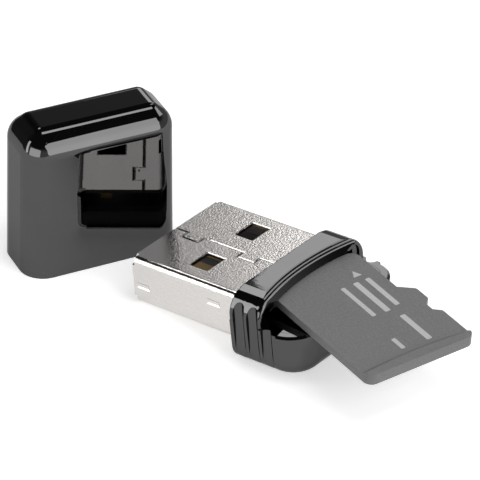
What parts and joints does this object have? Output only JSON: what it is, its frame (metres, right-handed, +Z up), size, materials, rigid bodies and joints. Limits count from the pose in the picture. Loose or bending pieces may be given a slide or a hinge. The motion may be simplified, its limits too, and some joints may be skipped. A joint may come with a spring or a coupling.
{
  "type": "usb memory card reader",
  "caption": "Small USB-A memory card reader with a steel plug, glossy dark housing, arched slot band and tray; a card rests in the slot and the cap stands beside it.",
  "frame": {"origin": "middle of the footprint of everything, on the table surface", "axes": "+X along the plug from the card slot to the plug mouth, seen from above; +Z up; the reader is tipped about Y so that its plug mouth is down"},
  "size_m": [0.0434, 0.0164, 0.0142],
  "materials": {
    "gunmetal": "mirror-gloss gunmetal lacquer",
    "plug_steel": "nickel-plated sheet, faintly grained",
    "insulator": "moulded black",
    "contact_gold": "gold plated",
    "board_green": "solder mask",
    "chip_black": "moulded package",
    "ceramic": "ceramic with tinned ends",
    "crystal_can": "bright can",
    "card_grey": "satin dark grey with light print"
  },
  "bodies": {
    "root": {"cap": "gunmetal", "upper_shell": "gunmetal", "lower_shell": "gunmetal", "slot_deck": "gunmetal", "plug_shield": "plug_steel", "contact_carrier": "insulator", "socket_frame": "insulator", "usb_contact_1": "contact_gold", "usb_contact_2": "contact_gold", "usb_contact_3": "contact_gold", "usb_contact_4": "contact_gold", "card_contact_1": "contact_gold", "card_contact_2": "contact_gold", "card_contact_3": "contact_gold", "card_contact_4": "contact_gold", "card_contact_5": "contact_gold", "card_contact_6": "contact_gold", "card_contact_7": "contact_gold", "card_contact_8": "contact_gold", "circuit_board": "board_green", "controller_chip": "chip_black", "capacitor_1": "ceramic", "capacitor_2": "ceramic", "capacitor_3": "ceramic", "resistor_1": "ceramic", "resistor_2": "ceramic", "crystal": "crystal_can", "memory_card": "card_grey"}
  },
  "joints": []
}
